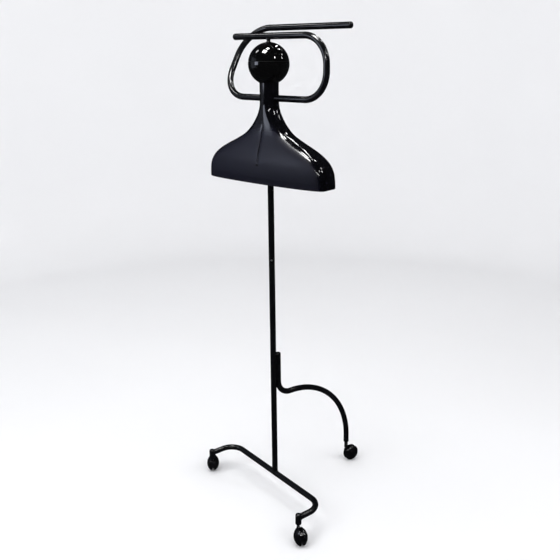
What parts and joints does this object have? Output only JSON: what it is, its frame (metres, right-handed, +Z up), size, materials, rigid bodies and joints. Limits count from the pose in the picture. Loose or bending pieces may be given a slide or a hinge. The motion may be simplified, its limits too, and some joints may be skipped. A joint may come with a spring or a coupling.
{
  "type": "valet stand",
  "caption": "Clothes valet on swivel casters: slim pole, hollow shoulder form, ball head and a looped tube that ends in two hanging rails.",
  "frame": {"origin": "on the floor under the pole axis", "axes": "+Z up along the pole, +X to the bust's left hand (right as seen from the front), -Y the way the bust faces"},
  "size_m": [0.5394, 0.5224, 1.469],
  "materials": {
    "base_lacquer": "gloss black lacquer",
    "pole_lacquer": "gloss black lacquer",
    "rail_lacquer": "gloss black lacquer",
    "pin_lacquer": "gloss black lacquer",
    "weld": "gloss black lacquer over a weld bead",
    "cap": "gloss",
    "bust_shell": "gloss, softer on the broad faces",
    "head_gloss": "high gloss",
    "seam": "matt",
    "screw": "blackened",
    "button": "bright",
    "spigot_steel": "plain",
    "inner_plastic": "matt",
    "bearing_steel": "dark zinc",
    "sleeve_plastic": "satin",
    "caster_plastic": "gloss",
    "wheel_plastic": "gloss",
    "hub_plastic": "gloss"
  },
  "bodies": {
    "base": {"base_tube": "base_lacquer", "socket_left": "base_lacquer", "socket_right": "base_lacquer", "socket_weld_left": "weld", "socket_weld_right": "weld", "rear_leg": "base_lacquer", "leg_top_cap": "cap", "leg_weld_left": "weld", "leg_weld_right": "weld", "pole_lower": "pole_lacquer", "pole_weld": "weld", "pole_upper": "pole_lacquer", "pole_spigot": "spigot_steel", "pole_lock_button": "button", "pole_top_plug": "inner_plastic", "caster_sleeve_left": "sleeve_plastic", "caster_sleeve_right": "sleeve_plastic", "caster_sleeve_rear": "sleeve_plastic"},
    "torso": {"bust_shell": "bust_shell", "bust_screw_front": "screw", "bust_screw_back": "screw", "bust_stay": "inner_plastic", "neck_plug": "inner_plastic", "neck_collar": "inner_plastic", "head_lower": "head_gloss", "head_upper": "head_gloss", "head_seam_ring": "seam", "top_pin": "pin_lacquer", "rail_front": "rail_lacquer", "rail_rear": "rail_lacquer", "rail_joiner": "inner_plastic", "rail_cap_front": "cap", "rail_cap_rear": "cap"},
    "caster_left": {"caster_stem_left": "bearing_steel", "caster_body_left": "caster_plastic", "caster_axle_left": "bearing_steel"},
    "wheel_left_a": {"wheel_left_a": "wheel_plastic", "hub_cap_left_a": "hub_plastic"},
    "wheel_left_b": {"wheel_left_b": "wheel_plastic", "hub_cap_left_b": "hub_plastic"},
    "caster_right": {"caster_stem_right": "bearing_steel", "caster_body_right": "caster_plastic", "caster_axle_right": "bearing_steel"},
    "wheel_right_a": {"wheel_right_a": "wheel_plastic", "hub_cap_right_a": "hub_plastic"},
    "wheel_right_b": {"wheel_right_b": "wheel_plastic", "hub_cap_right_b": "hub_plastic"},
    "caster_rear": {"caster_stem_rear": "bearing_steel", "caster_body_rear": "caster_plastic", "caster_axle_rear": "bearing_steel"},
    "wheel_rear_a": {"wheel_rear_a": "wheel_plastic", "hub_cap_rear_a": "hub_plastic"},
    "wheel_rear_b": {"wheel_rear_b": "wheel_plastic", "hub_cap_rear_b": "hub_plastic"}
  },
  "joints": [
    {"name": "bust_swivel", "type": "hinge", "parent": "base", "child": "torso", "pos_m": [0, 0, 1.0865], "axis": [0, 0, 1], "continuous": true},
    {"name": "caster_swivel_left", "type": "hinge", "parent": "base", "child": "caster_left", "pos_m": [-0.24426, -0.05301, 0.057], "axis": [0, 0, 1], "continuous": true},
    {"name": "wheel_spin_left_a", "type": "hinge", "parent": "caster_left", "child": "wheel_left_a", "pos_m": [-0.25842, -0.0375, 0.0265], "axis": [-0.7385, -0.6743, 0], "continuous": true},
    {"name": "wheel_spin_left_b", "type": "hinge", "parent": "caster_left", "child": "wheel_left_b", "pos_m": [-0.25842, -0.0375, 0.0265], "axis": [-0.7385, -0.6743, 0], "continuous": true},
    {"name": "caster_swivel_right", "type": "hinge", "parent": "base", "child": "caster_right", "pos_m": [0.21324, -0.13039, 0.057], "axis": [0, 0, 1], "continuous": true},
    {"name": "wheel_spin_right_a", "type": "hinge", "parent": "caster_right", "child": "wheel_right_a", "pos_m": [0.23113, -0.14139, 0.0265], "axis": [0.524, 0.8517, 0], "continuous": true},
    {"name": "wheel_spin_right_b", "type": "hinge", "parent": "caster_right", "child": "wheel_right_b", "pos_m": [0.23113, -0.14139, 0.0265], "axis": [0.524, 0.8517, 0], "continuous": true},
    {"name": "caster_swivel_rear", "type": "hinge", "parent": "base", "child": "caster_rear", "pos_m": [0.05262, 0.31108, 0.057], "axis": [0, 0, 1], "continuous": true},
    {"name": "wheel_spin_rear_a", "type": "hinge", "parent": "caster_rear", "child": "wheel_rear_a", "pos_m": [0.05826, 0.33131, 0.0265], "axis": [-0.9632, 0.2689, 0], "continuous": true},
    {"name": "wheel_spin_rear_b", "type": "hinge", "parent": "caster_rear", "child": "wheel_rear_b", "pos_m": [0.05826, 0.33131, 0.0265], "axis": [-0.9632, 0.2689, 0], "continuous": true}
  ]
}
